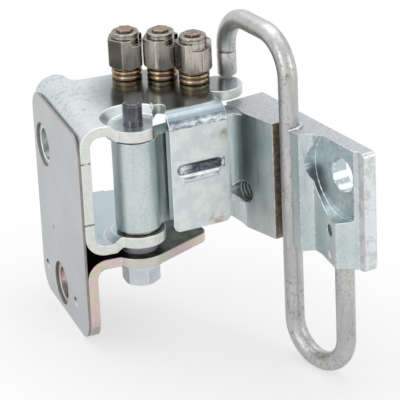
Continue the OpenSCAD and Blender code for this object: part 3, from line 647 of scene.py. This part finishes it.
def leaf_finish(tones):
    """Teal zinc, drawn along the profile, with sawn ends, a brown groove and a turned spot face."""
    f = Finish("leaf_zinc")
    cloud = f.noise(60, 4)
    drawn = f.noise(1100, 4, stretch=(1, 1, 14))
    grain = f.noise(1600, 3)
    streak = f.noise(260, 4, stretch=(1, 1, 6))
    sawn, turned, groove, strip = (f.tag(name) for name in ("sawn", "turned", "groove", "strip"))
    # Drawn sides, sawn ends, groove and end strip
    side = f.mix(f.band(cloud, 0.35, 0.65), tones.leaf, (0.62, 0.675, 0.67))
    side = f.mix(f.band(streak, 0.42, 0.62) * 0.24, side, (0.35, 0.45, 0.46))
    side = f.mix(f.band(grain, 0.52, 0.66) * 0.4, side, (0.76, 0.8, 0.8))
    side = f.mix(f.band(f.noise(1500, 3), 0.58, 0.68) * 0.45, side, (0.32, 0.4, 0.4))
    end = f.mix(f.band(grain, 0.4, 0.65), (0.41, 0.43, 0.45), (0.53, 0.55, 0.57))
    end = f.mix(f.band(f.noise(900, 2), 0.63, 0.7) * 0.6, end, (0.3, 0.31, 0.325))
    # Painted shade on the sawn ends within about 3 cm of the pin, where the upper flange overhangs the
    # arm
    painted_shade_by_pin = 1 - f.band(f.off_axis(PIN, (0, 0, 1)), 0.024, 0.034)
    end = f.mix(painted_shade_by_pin * 0.8, end, (0.2, 0.31, 0.32))
    brown = f.mix(f.band(f.noise(500, 4), 0.4, 0.62), (0.32, 0.26, 0.205), (0.5, 0.44, 0.37))
    patch = f.band(f.noise(240, 5, rough=0.7), 0.48, 0.62)
    pale = f.mix(patch, (0.75, 0.77, 0.785), (0.6, 0.605, 0.61))
    scuff = f.band(f.noise(620, 5, rough=0.75), 0.59, 0.67)
    pale = f.mix(scuff * 0.45, pale, (0.34, 0.29, 0.24))
    # Spot face, turned in rings, with painted shade low on one side
    away = f.off_axis(DOOR_HOLE, LEAF_OUT)
    feed = 0.42 * MM
    rings = (away * (2 * math.pi / feed)).wave()
    swirl = f.band(f.noise(500, 2) + 0.12 * rings, 0.4, 0.62)
    mirror = f.mix(swirl, (0.5, 0.585, 0.61), (0.66, 0.73, 0.745))
    # Painted shade low on one side of the spot face
    painted_dark = f.near(DOOR_HOLE + LEAF_SIDE * 15.8 * MM - Vector((0, 0, 7.4 * MM)), 9 * MM)
    mirror = f.mix(painted_dark * 0.8, mirror, (0.16, 0.185, 0.205))
    # Everything together, with worn edges
    colour = f.mix(sawn, side, end)
    colour = f.mix(groove, colour, brown)
    colour = f.mix(strip, colour, pale)
    colour = f.mix(turned, colour, mirror)
    worn = f.tag("worn") * (1 - 0.7 * groove)
    chip = f.band(f.noise(650, 4, rough=0.7), 0.42, 0.6)
    colour = f.mix(worn * chip * 0.5, colour, (0.8, 0.81, 0.79))
    colour = f.mix(worn * (1 - chip) * 0.28, colour, (0.36, 0.3, 0.25))
    matt = 0.3 + 0.12 * cloud + 0.1 * f.band(drawn, 0.3, 0.7) + 0.16 * sawn + 0.12 * groove
    rough = matt * (1 - turned) + 0.17 * turned
    height = (0.9 * drawn + 0.6 * grain) * (1 - turned) + 0.7 * sawn * grain + 0.22 * rings * turned
    return f.metal(colour, rough, f.bump(height, 0.00007, 0.6))


def thread_finish():
    """Grey-green zinc of the thread's turns."""
    f = Finish("thread_zinc")
    colour = f.mix(f.noise(500, 3), (0.24, 0.27, 0.25), (0.42, 0.46, 0.43))
    return f.metal(colour, 0.3 + 0.1 * f.noise(700, 2), f.bump(f.noise(1500, 2), 0.00003, 0.4))


def bar_finish(tones):
    """Satin steel with sooty patches, pits and a dark line round the free leg."""
    f = Finish("spring_steel")
    cloud = f.noise(70, 4)
    streak = f.noise(330, 5, stretch=(1, 1, 5), rough=0.7)
    soot = f.band(f.noise(900, 5, stretch=(1, 1, 1.6), rough=0.8), 0.5, 0.68)
    patch = f.band(f.noise(65, 3), 0.38, 0.56)
    colour = f.mix(f.band(cloud, 0.35, 0.65), tones.bar, (0.56, 0.56, 0.555))
    colour = f.mix(f.band(streak, 0.45, 0.65) * 0.4, colour, (0.36, 0.35, 0.335))
    colour = f.mix(soot * patch * 0.88, colour, (0.17, 0.15, 0.13))
    pit = f.band(f.noise(1100, 3), 0.68, 0.73)
    colour = f.mix(pit * 0.7, colour, (0.12, 0.105, 0.09))
    line = 1 - f.band((f.axis(2) - FREE_LINE).math("ABSOLUTE", 0.0), 0.22 * MM, 0.45 * MM)
    free_leg = f.axis(1) > BAR_GROOVE.y * 0.5 + BAR_HIGH.y * 0.5 - 0.006
    grime = 0.45 + 0.55 * f.band(f.noise(300, 3), 0.4, 0.55)
    colour = f.mix(line * free_leg * grime, colour, (0.13, 0.1, 0.08))
    rough = 0.32 + 0.12 * cloud + 0.12 * soot * patch
    relief = f.bump(f.noise(1100, 3) + 0.8 * f.noise(240, 4) - 0.9 * pit, 0.00007, 0.55)
    return f.metal(colour, rough, relief)


def sleeve_finish(tones):
    """Dark nickel, drawn upwards, with painted highlight and painted shade on alternate flats."""
    f = Finish("sleeve_nickel")
    cloud = f.noise(170, 4)
    lines = f.noise(1500, 4, stretch=(1, 1, 9))
    # Painted highlight and painted shade on the flats, by each flat's direction
    rubbed = f.tag("rubbed") + 0.3 * (cloud - 0.5)
    colour = f.mix(f.band(rubbed, 0.1, 0.9), tones.sleeve, (0.55, 0.51, 0.45))
    colour = f.mix(f.band(lines, 0.42, 0.65) * 0.3, colour, (0.13, 0.112, 0.092))
    colour = f.mix(f.band(f.noise(1400, 3), 0.65, 0.71) * 0.5, colour, (0.08, 0.066, 0.052))
    colour = f.mix(f.tag("worn") * 0.5, colour, (0.56, 0.52, 0.46))
    return f.metal(colour, 0.15 + 0.14 * cloud, f.bump(lines + 0.5 * f.noise(1300, 2), 0.00004, 0.5))


def collar_finish(tones):
    """Greenish zinc on the side and brown on top."""
    f = Finish("collar_zinc")
    cloud = f.noise(260, 3)
    rim = 1 - f.band(f.axis(2), COLLAR_HIGH.z - 1.7 * MM, COLLAR_HIGH.z - 1.0 * MM)
    brown = f.mix(f.band(f.noise(520, 4), 0.4, 0.62), (0.2, 0.17, 0.145), (0.31, 0.275, 0.24))
    zinc = f.hues(cloud, [
        (0.35, (0.36, 0.39, 0.33)), (0.5, tuple(tones.collar)), (0.62, (0.34, 0.31, 0.29))])
    colour = f.mix(rim, brown, zinc)
    colour = f.mix(f.tag("worn") * (0.25 + 0.4 * rim), colour, (0.66, 0.69, 0.62))
    return f.metal(colour, 0.2 + 0.14 * cloud, f.bump(f.noise(1500, 3), 0.00004, 0.5))


def stud_finish(tones):
    """Brown tempered steel, bright along its edges."""
    f = Finish("stud_steel")
    cloud = f.noise(420, 4)
    colour = f.mix(f.band(cloud, 0.4, 0.62), tones.stud, (0.34, 0.25, 0.2))
    colour = f.mix(f.tag("worn") * 0.55, colour, (0.52, 0.43, 0.37))
    return f.metal(colour, 0.32 + 0.14 * cloud, f.bump(f.noise(1400, 3), 0.00004, 0.5))


# Sizes and colours that a user may change


def length(name, description, default):
    return FloatProperty(name=name, description=description, default=default, min=0, unit="LENGTH")


def tone(name, description, default):
    return FloatVectorProperty(
        name=name, description=description, default=default, subtype="COLOR", min=0, max=1)


class HingeSizes(bpy.types.PropertyGroup):
    """Sizes of what the dressing adds."""

    sheet_edge: length("Sheet edge", "Rounding of the stamped sheet's edges", 0.35 * MM)
    shim_edge: length("Shim edge", "Rounding of the shim's edges", 0.16 * MM)
    leaf_edge: length("Leaf edge", "Rounding of the drawn leaf's edges", 0.35 * MM)
    post_edge: length("Post edge", "Rounding of the sleeves, collars and stud heads", 0.22 * MM)
    pin_edge: length("Pin edge", "Rounding of the pin, bolt and washer", 0.25 * MM)
    bar_d: length("Bar diameter", "Diameter of the sprung bar", 7.5 * MM)
    bar_bend: length("Upper bend", "Radius of the bar's two upper bends", 15 * MM)
    pitch: length("Thread pitch", "Pitch of the tapped hole", 1.5 * MM)
    bar_sides: IntProperty(name="Bar sides", description="Sides of the bar's section", default=40, min=12)


class HingeTones(bpy.types.PropertyGroup):
    """Main colours of the finishes."""

    zinc_cool: tone("Zinc, cool", "Cool tone of the yoke's plating", (0.6, 0.675, 0.695))
    zinc_warm: tone("Zinc, warm", "Warm tone of the yoke's plating", (0.66, 0.705, 0.71))
    cut_edge: tone("Cut edge", "Edge of the plated sheet", (0.74, 0.745, 0.7))
    shim: tone("Shim", "Dull zinc of the shim", (0.55, 0.56, 0.57))
    chromate: tone("Chromate", "Mean tone of the lower bracket", (0.66, 0.6, 0.58))
    leaf: tone("Leaf", "Teal zinc of the drawn leaf", (0.53, 0.61, 0.615))
    pin: tone("Pin", "Dark steel of the hinge pin", (0.075, 0.074, 0.088))
    bolt: tone("Bolt", "Clear zinc of bolt and washer", (0.62, 0.665, 0.695))
    bronze: tone("Bronze", "Base rings and bushes", (0.46, 0.35, 0.235))
    bar: tone("Bar", "Satin steel of the sprung bar", (0.48, 0.485, 0.485))
    # The sleeve tone is the painted-shade end of the flats; pale nickel is the painted-highlight end
    sleeve: tone("Sleeve", "Nickel of the hexagonal sleeves", (0.085, 0.075, 0.064))
    collar: tone("Collar", "Zinc of the collars", (0.5, 0.52, 0.45))
    stud: tone("Stud", "Brown steel of the stud heads", (0.21, 0.16, 0.13))


# Operators


class HINGE_OT_pillar_sheets(bpy.types.Operator):
    """Round and plate the shim, the folded yoke and the lower bracket"""

    bl_idname = "hinge.pillar_sheets"
    bl_label = "Pillar sheets"

    def execute(self, context):
        sizes, tones = context.scene.hinge_sizes, context.scene.hinge_tones

        shim = rounded_copy("mounting_shim", "shim_plate", sizes.shim_edge, 2)
        tag_faces(shim, "cut", lambda centre, normal: abs(normal.x) < 0.5)
        put_on(shim, shim_finish(tones), "pillar", "shim_zinc", "mounting_shim")

        yoke = rounded_copy(
            "pillar_yoke", "yoke_sheet", sizes.sheet_edge, cuts=[(DENT_MID, FLAP_ALONG)])
        tag_faces(yoke, "cut", lambda centre, normal: (
            self.across_sheet(centre, normal) and not self.on_flap(centre, normal)))
        tag_faces(yoke, "low", lambda centre, normal: normal.z > UPWARD and centre.z < LOW_FLANGE)
        tag_faces(yoke, "top", lambda centre, normal: normal.z > UPWARD)
        tag_faces(yoke, "front", lambda centre, normal: normal.dot(FLAP_SIDE) < -0.3)
        tag_faces(yoke, "flap", self.on_flap)
        tag_faces(yoke, "die", self.under_die)
        # Share of painted dark reflection on the upper part of the fold
        tag_faces(yoke, "fold", self.over_flap)
        put_on(yoke, yoke_finish(tones), "pillar", "zinc_plate", "pillar_yoke")

        bracket = rounded_copy("lower_bracket", "bracket_sheet", sizes.sheet_edge)
        tag_faces(bracket, "cut", self.across_sheet)
        # Share of painted shade on upward faces near the bracket's top
        tag_faces(bracket, "upper", lambda centre, normal: (
            min(1, max(0, 3 * normal.z - 0.5)) if centre.z > PIN.z - 0.05 else 0))
        put_on(bracket, bracket_finish(tones), "pillar", "chromate", "lower_bracket")
        return {"FINISHED"}

    @staticmethod
    def across_sheet(centre, normal):
        """Cut edges face sideways, but not as the web does."""
        return abs(normal.z) < 0.3 and abs(normal.x) < 0.97 and abs(normal.y) > 0.05

    @staticmethod
    def on_flap(centre, normal):
        """Both broad faces of the flap."""
        along, across = flap_place(centre)
        return along > FLAP_START and across < -3.5 and abs(normal.dot(FLAP_SIDE)) > 0.8

    @staticmethod
    def over_flap(centre, normal):
        """Share of painted dark reflection on the upper part of the flap's fold."""
        along, _ = flap_place(centre)
        if along < FLAP_START or normal.dot(FLAP_SIDE) > -0.1 or normal.z <= 0.45:
            return 0
        return min(1, max(0, (0.985 - normal.z) / 0.08))

    @staticmethod
    def under_die(centre, normal):
        """Lower part of the flap's fold, which is darkened in dark-blue dots."""
        along, _ = flap_place(centre)
        return along > FLAP_START and 0.12 < normal.z < 0.62 and normal.dot(FLAP_SIDE) < -0.6


class HINGE_OT_pin(bpy.types.Operator):
    """Finish the hinge pin, its bolt and washer and the bushes in the barrel"""

    bl_idname = "hinge.pin"
    bl_label = "Pin and bushes"

    def execute(self, context):
        sizes, tones = context.scene.hinge_sizes, context.scene.hinge_tones
        pin = rounded_copy("hinge_pin", "pin_steel", sizes.pin_edge / 3, 2)
        put_on(pin, pin_finish(tones), "pillar", "dark_pin", "hinge_pin")
        plating = bolt_finish(tones)
        bolt = rounded_copy("pin_bolt", "bolt_steel", sizes.pin_edge)
        put_on(bolt, plating, "pillar", "bolt_zinc", "pin_bolt")
        washer = rounded_copy("pin_washer", "washer_steel", sizes.pin_edge)
        put_on(washer, plating, "pillar", "bolt_zinc", "pin_washer")
        lining = bronze_finish(tones)
        for node in ("upper_bush", "lower_bush"):
            bush = rounded_copy(node, node + "_lining", sizes.pin_edge / 3, 2)
            put_on(bush, lining, "door", "bronze", node)
        return {"FINISHED"}


class HINGE_OT_leaf(bpy.types.Operator):
    """Finish the drawn leaf, cut its thread and stake it round the bar"""

    bl_idname = "hinge.leaf"
    bl_label = "Door leaf"

    def execute(self, context):
        sizes, tones = context.scene.hinge_sizes, context.scene.hinge_tones
        leaf = rounded_copy("door_leaf", "leaf_profile", sizes.leaf_edge)
        tag_faces(leaf, "sawn", lambda centre, normal: abs(normal.z) > UPWARD)
        tag_faces(leaf, "turned", self.in_spot_face)
        tag_faces(leaf, "groove", self.in_groove)
        tag_faces(leaf, "strip", self.on_end_strip)
        plating = leaf_finish(tones)
        put_on(leaf, plating, "door", "leaf_zinc", "door_leaf")

        thread = thread_shape().make("thread_turns", bpy.data.meshes.new("thread_turns"), {
            "Hole radius": CORE_R, "Pitch": sizes.pitch, "Turns": THREAD_DEPTH / sizes.pitch,
            "Ridge": RIDGE_R, "Place": TAPPED_HOLE - LEAF_OUT * THREAD_INSET,
            "Material": thread_finish()})
        put_on(thread, thread.data.materials[0], "door", "leaf_zinc")

        lip = self.staked_lip(sizes)
        put_on(lip, plating, "door", "leaf_zinc")
        for name in ("worn", "sawn", "turned", "groove", "strip"):
            tag_faces(lip, name, lambda centre, normal: name == "worn")
        return {"FINISHED"}

    @staticmethod
    def in_spot_face(centre, normal):
        """Floor and wall of the spot face, and the inside of its hole."""
        thick, _ = leaf_place(centre)
        away = (centre - DOOR_HOLE).cross(LEAF_OUT).length
        return away < SPOT_R + 0.1 * MM and 6.4 < thick < 13 or away < 0.4 * SPOT_R

    @staticmethod
    def in_groove(centre, normal):
        """Wall of the bar's groove on the arm's side."""
        thick, along = leaf_place(centre)
        sideways = abs(normal.z) < 0.5 and abs(normal.dot(LEAF_SIDE)) > 0.4
        return 28.9 < along < 31.2 and thick > 7 and sideways

    @staticmethod
    def on_end_strip(centre, normal):
        """Upright strip at the leaf's far end."""
        thick, along = leaf_place(centre)
        return along > 70.5 and abs(normal.z) < 0.5 and thick > 0.5

    @staticmethod
    def staked_lip(sizes):
        """Thin lip of leaf metal that is staked against the bar at the groove's mouth."""
        points, girths = [], []
        half_wall = 0.75 * MM
        reach = sizes.bar_d / 2 + half_wall
        start, sweep, count = -130, 150, 28
        for k in range(count + 1):
            share = k / count
            turn = math.radians(start + sweep * share) + LEAF_TURN
            rise = math.sin(math.pi * share)
            points.append((
                BAR_GROOVE.x + reach * math.cos(turn), BAR_GROOVE.y + reach * math.sin(turn),
                LEAF_HIGH.z + (0.1 + 0.35 * rise) * MM))
            girths.append(0.25 + 0.75 * rise ** 0.5)
        return round_bar_shape().make("staked_lip", path_mesh("staked_lip", points, girths), {
            "Radius": half_wall, "Sides": 16})


class HINGE_OT_bar(bpy.types.Operator):
    """Bend the sprung bar along its path"""

    bl_idname = "hinge.bar"
    bl_label = "Sprung bar"

    def execute(self, context):
        sizes, tones = context.scene.hinge_sizes, context.scene.hinge_tones
        points, girths = self.path(sizes)
        bar = round_bar_shape().make("sprung_bar", path_mesh("sprung_bar", points, girths), {
            "Radius": sizes.bar_d / 2, "Sides": sizes.bar_sides})
        put_on(bar, bar_finish(tones), "door", "spring_steel", "torsion_bar")
        return {"FINISHED"}

    @staticmethod
    def path(sizes):
        """Points from the free end over the arch and down round the hook to the socket."""
        radius, bend = sizes.bar_d / 2, sizes.bar_bend
        level = BAR_HIGH.z - radius - bend
        low_bend = (BAR_SOCKET - BAR_GROOVE).length / 2
        hook = BAR_LOW.z + radius + low_bend
        arch = (BAR_GROOVE - BAR_FREE).normalized()
        under = (BAR_SOCKET - BAR_GROOVE).normalized()
        steps = 24
        points, girths = [], []

        def add(flat, height, girth=1.0):
            points.append((flat.x, flat.y, height))
            girths.append(girth)

        tip = 0.6 * MM
        add(BAR_FREE, FREE_END, 1 - tip / radius)
        add(BAR_FREE, FREE_END + tip)
        scored = ((-0.5, 1.0), (-0.2, 0.965), (0.2, 0.965), (0.5, 1.0))
        for off, girth in scored:
            add(BAR_FREE, FREE_LINE + off * MM, girth)
        for k in range(steps + 1):
            turn = math.pi / 2 * k / steps
            add(BAR_FREE + arch * bend * (1 - math.cos(turn)), level + bend * math.sin(turn))
        for k in range(steps + 1):
            turn = math.pi / 2 * k / steps
            add(BAR_GROOVE - arch * bend * (1 - math.sin(turn)), level + bend * math.cos(turn))
        for k in range(2 * steps + 1):
            turn = math.pi * k / (2 * steps)
            add(BAR_GROOVE + under * low_bend * (1 - math.cos(turn)), hook - low_bend * math.sin(turn))
        add(BAR_SOCKET, SOCKET_END)
        return points, girths


class HINGE_OT_posts(bpy.types.Operator):
    """Finish the three detent posts on the upper flange"""

    bl_idname = "hinge.posts"
    bl_label = "Detent posts"

    def execute(self, context):
        sizes, tones = context.scene.hinge_sizes, context.scene.hinge_tones
        nickel, bronze = sleeve_finish(tones), bronze_finish(tones)
        zinc, brown = collar_finish(tones), stud_finish(tones)
        for i in (1, 2, 3):
            number = str(i)
            sleeve = rounded_copy("detent_sleeve_" + number, "post_sleeve_" + number, sizes.post_edge)
            # Share of painted light and shade on each flat
            tag_faces(sleeve, "rubbed", lambda centre, normal: self.rubbed_share(normal, i))
            put_on(sleeve, nickel, "pillar", "sleeve_nickel", "detent_sleeve_" + number)
            collar = rounded_copy("detent_collar_" + number, "post_collar_" + number, sizes.post_edge)
            put_on(collar, zinc, "pillar", "collar_zinc", "detent_collar_" + number)
            stud = rounded_copy("detent_stud_" + number, "post_stud_" + number, sizes.post_edge)
            put_on(stud, brown, "pillar", "stud_steel", "detent_stud_" + number)
            base = self.ringed_base("detent_bush_" + number, "post_base_" + number)
            put_on(base, bronze, "pillar", "bronze", "detent_bush_" + number)
        return {"FINISHED"}

    @staticmethod
    def rubbed_share(normal, number):
        """Share of painted highlight on each flat of a sleeve, by the flat's direction and turned
        differently on each sleeve; top and bottom faces get a fixed share.
        """
        if abs(normal.z) > 0.5:
            return 0.35
        turn = math.atan2(normal.y, normal.x) - math.radians(FACET_LIGHT_TURNS[number - 1])
        return 0.5 + 0.3 * math.cos(turn) + 0.2 * math.cos(3 * turn)

    @staticmethod
    def ringed_base(node, name):
        """Bronze base with two full-round rings, a groove between them and a neck above."""
        low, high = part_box(node)
        centre = Vector(((low.x + high.x) / 2, (low.y + high.y) / 2, low.z))
        ring = (high.x - low.x) / 2 / MM
        bore, neck, neck_h, top = 2.52, ring - 1, 0.7, (high.z - low.z) / MM
        half = (top - neck_h) / 2
        curl, fullness, steps = 0.55, 0.94, 8
        outline = [(bore, 0)]
        for base in (0, half):
            for k in range(steps + 1):
                turn = math.pi * (k / steps - 0.5)
                outline.append((
                    ring - curl + curl * math.cos(turn),
                    base + half / 2 * (1 + fullness * math.sin(turn))))
        outline += [(neck, top - neck_h), (neck, top), (bore, top)]
        return lathe(name, outline, centre)


class HINGE_OT_studio(bpy.types.Operator):
    """Set the floor, the lights, the background and the camera"""

    bl_idname = "hinge.studio"
    bl_label = "Studio"

    def execute(self, context):
        self.floor()
        self.background(context.scene)
        self.lamps()
        self.camera(context.scene)
        return {"FINISHED"}

    @staticmethod
    def floor():
        """Pale plane under the shim's lower edge and the bar's hook, on which the hinge leans."""
        edge = Vector((SHIM_LOW.x, 0, SHIM_LOW.z))
        gap = 0.4 * MM
        fall = (BAR_LOW.z - gap - edge.z) / (BAR_SOCKET.x - edge.x)
        reach = 3.0
        corners = [
            (x, y, edge.z + fall * (x - edge.x))
            for x, y in ((-reach, -reach), (reach, -reach), (reach, reach), (-reach, reach))]
        mesh = bpy.data.meshes.new("studio_floor")
        mesh.from_pydata(corners, [], [(0, 1, 2, 3)])
        floor = bpy.data.objects.new("studio_floor", mesh)
        bpy.context.scene.collection.objects.link(floor)
        f = Finish("studio_floor")
        paint = f.node("ShaderNodeBsdfDiffuse", sockets={"Color": (0.96, 0.96, 0.96, 1)})
        glow = f.node("ShaderNodeEmission", sockets={"Color": (1, 1, 1, 1), "Strength": 1.0})
        under_part = (0.05, -0.05, -0.07)
        away = f.node(
            "ShaderNodeVectorMath", {"operation": "DISTANCE"}, {0: f.place, 1: under_part}, output=1)
        share = (0.6 + 0.4 * f.band(away, 0.05, 0.15)) * seen_rays(f)
        surface = f.node("ShaderNodeMixShader", sockets={0: share, 1: paint, 2: glow})
        f.node("ShaderNodeOutputMaterial", sockets={"Surface": surface})
        mesh.materials.append(f.material)

    @staticmethod
    def background(scene):
        scene.view_settings.view_transform = "Standard"
        world = bpy.data.worlds.new("studio")
        world.use_nodes = True
        scene.world = world
        w = NodeWork(world.node_tree)
        ambient = 0.5
        strength = ambient + (1 - ambient) * seen_rays(w)
        sky = w.node("ShaderNodeBackground", sockets={"Color": (1, 1, 1, 1), "Strength": strength})
        w.node("ShaderNodeOutputWorld", sockets={"Surface": sky})

    @staticmethod
    def lamps():
        aim = Vector((0.045, -0.045, -0.01))
        for name, place, wide, high, power in (
                ("top_box", (0.1, 0.25, 0.95), 1.3, 1.05, 4.8),
                ("left_box", (-0.75, -0.55, 0.35), 0.35, 0.6, 1.7),
                ("right_box", (0.7, -0.75, 0.3), 0.3, 0.6, 1.2)):
            lamp = bpy.data.lights.new(name, "AREA")
            lamp.shape = "RECTANGLE"
            lamp.size, lamp.size_y, lamp.energy = wide, high, power
            holder = bpy.data.objects.new(name, lamp)
            holder.location = place
            holder.rotation_euler = (aim - Vector(place)).to_track_quat("-Z", "Y").to_euler()
            bpy.context.scene.collection.objects.link(holder)

    @staticmethod
    def camera(scene):
        stand = Vector((-0.2513, -0.9374, 0.4103))
        ahead = Vector((0.2892, 0.8643, -0.4115)).normalized()
        level = ahead.cross(Vector((0, 0, 1))).normalized()
        up = level.cross(ahead)
        roll = math.radians(2.7)
        right = math.cos(roll) * level - math.sin(roll) * up
        above = math.sin(roll) * level + math.cos(roll) * up
        lens = bpy.data.cameras.new("photo_camera")
        lens.sensor_width = 36
        lens.lens = 243
        lens.clip_start, lens.clip_end = 0.05, 20
        camera = bpy.data.objects.new("photo_camera", lens)
        turn = Matrix((right, above, -ahead)).transposed().to_4x4()
        camera.matrix_world = Matrix.Translation(stand) @ turn
        scene.collection.objects.link(camera)
        scene.camera = camera


def seen_rays(work):
    """One for rays from the camera, from mirrors and through glass; nothing for soft light."""
    found = [work.node("ShaderNodeLightPath", output=name) for name in (
        "Is Camera Ray", "Is Glossy Ray", "Is Transmission Ray")]
    return (found[0] + found[1] + found[2]).up_to(1.0)


class HINGE_PT_panel(bpy.types.Panel):
    """Lists the steps that dress the hinge"""

    bl_idname = "HINGE_PT_panel"
    bl_label = "Car door hinge"
    bl_space_type = "VIEW_3D"
    bl_region_type = "UI"
    bl_category = "Hinge"

    def draw(self, context):
        for step in STEPS:
            self.layout.operator(step.bl_idname)
        for group in (context.scene.hinge_sizes, context.scene.hinge_tones):
            for key in group.bl_rna.properties.keys():
                if key not in ("rna_type", "name"):
                    self.layout.prop(group, key)


STEPS = (
    HINGE_OT_pillar_sheets, HINGE_OT_pin, HINGE_OT_leaf, HINGE_OT_bar, HINGE_OT_posts, HINGE_OT_studio)
CLASSES = (HingeSizes, HingeTones, *STEPS, HINGE_PT_panel)


def register():
    for item in CLASSES:
        bpy.utils.register_class(item)
    bpy.types.Scene.hinge_sizes = PointerProperty(type=HingeSizes)
    bpy.types.Scene.hinge_tones = PointerProperty(type=HingeTones)


def unregister():
    del bpy.types.Scene.hinge_tones
    del bpy.types.Scene.hinge_sizes
    for item in reversed(CLASSES):
        bpy.utils.unregister_class(item)


def main():
    register()
    for made in (
            bpy.ops.hinge.pillar_sheets, bpy.ops.hinge.pin, bpy.ops.hinge.leaf,
            bpy.ops.hinge.bar, bpy.ops.hinge.posts, bpy.ops.hinge.studio):
        made()
    bpy.context.view_layer.update()


if __name__ == "__main__":
    main()
